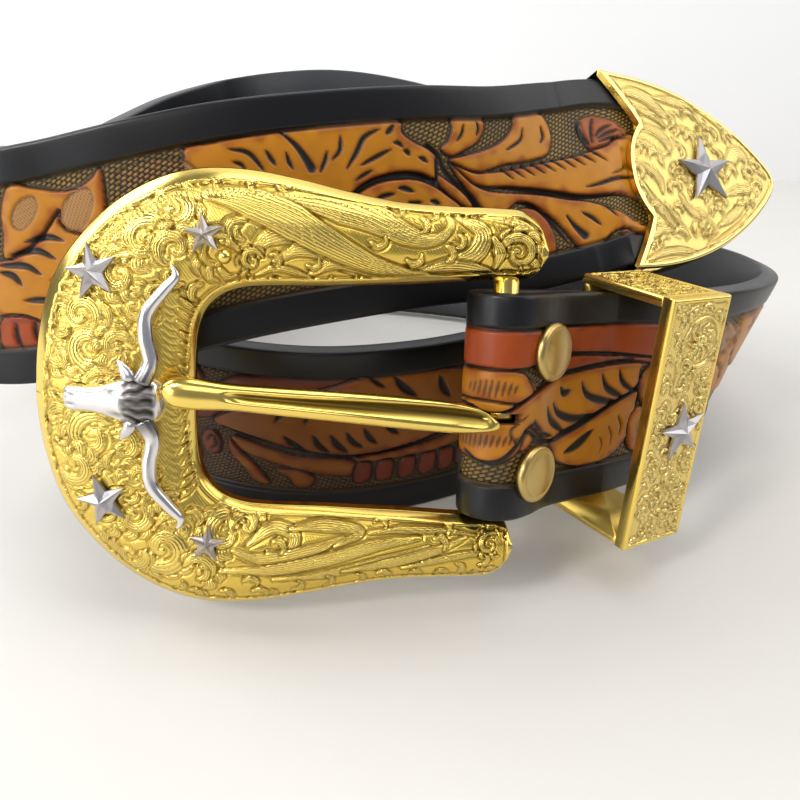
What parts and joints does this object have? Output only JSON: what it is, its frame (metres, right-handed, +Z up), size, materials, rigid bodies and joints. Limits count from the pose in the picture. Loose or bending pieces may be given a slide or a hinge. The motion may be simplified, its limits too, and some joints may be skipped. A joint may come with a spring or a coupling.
{
  "type": "western belt with ranger buckle set",
  "caption": "Western leather belt, floral tooled and black edged, with an engraved buckle, keeper and metal tip, standing on its edge in a loose coil.",
  "frame": {"origin": "under the middle of the belt's bounding box, on the floor it stands on", "axes": "+X to the right of a viewer who faces the buckle, +Y away from the viewer, +Z up"},
  "size_m": [0.1834, 0.1714, 0.0863],
  "materials": {
    "leather": "satin, tan tooled centre with black borders and lining",
    "gold": "polished, engraved, gold coloured plating",
    "silver": "satin, silver coloured",
    "disc": "satin brass"
  },
  "bodies": {
    "belt": {"strap": "leather", "tip_cap": "gold", "tip_star": "silver", "snap_cap_upper": "disc", "snap_cap_lower": "disc"},
    "buckle": {"buckle_frame": "gold", "star_upper_left": "silver", "star_upper_right": "silver", "star_lower_left": "silver", "star_lower_right": "silver", "bead": "gold", "longhorn": "silver"},
    "prong": {"prong": "gold"},
    "keeper": {"keeper_loop": "gold", "keeper_star": "silver"}
  },
  "joints": [
    {"name": "buckle_hinge", "type": "hinge", "parent": "belt", "child": "buckle", "pos_m": [0.02119, -0.06828, 0.0376], "axis": [-0.012, 0.262, 0.965], "range_deg": [0, 20]},
    {"name": "prong_hinge", "type": "hinge", "parent": "buckle", "child": "prong", "pos_m": [0.02119, -0.06828, 0.0376], "axis": [-0.012, 0.262, 0.965], "range_deg": [0, 30]},
    {"name": "keeper_slide", "type": "slide", "parent": "belt", "child": "keeper", "axis": [0.8317, 0.5477, -0.0914], "range_m": [0, 0.008]}
  ]
}
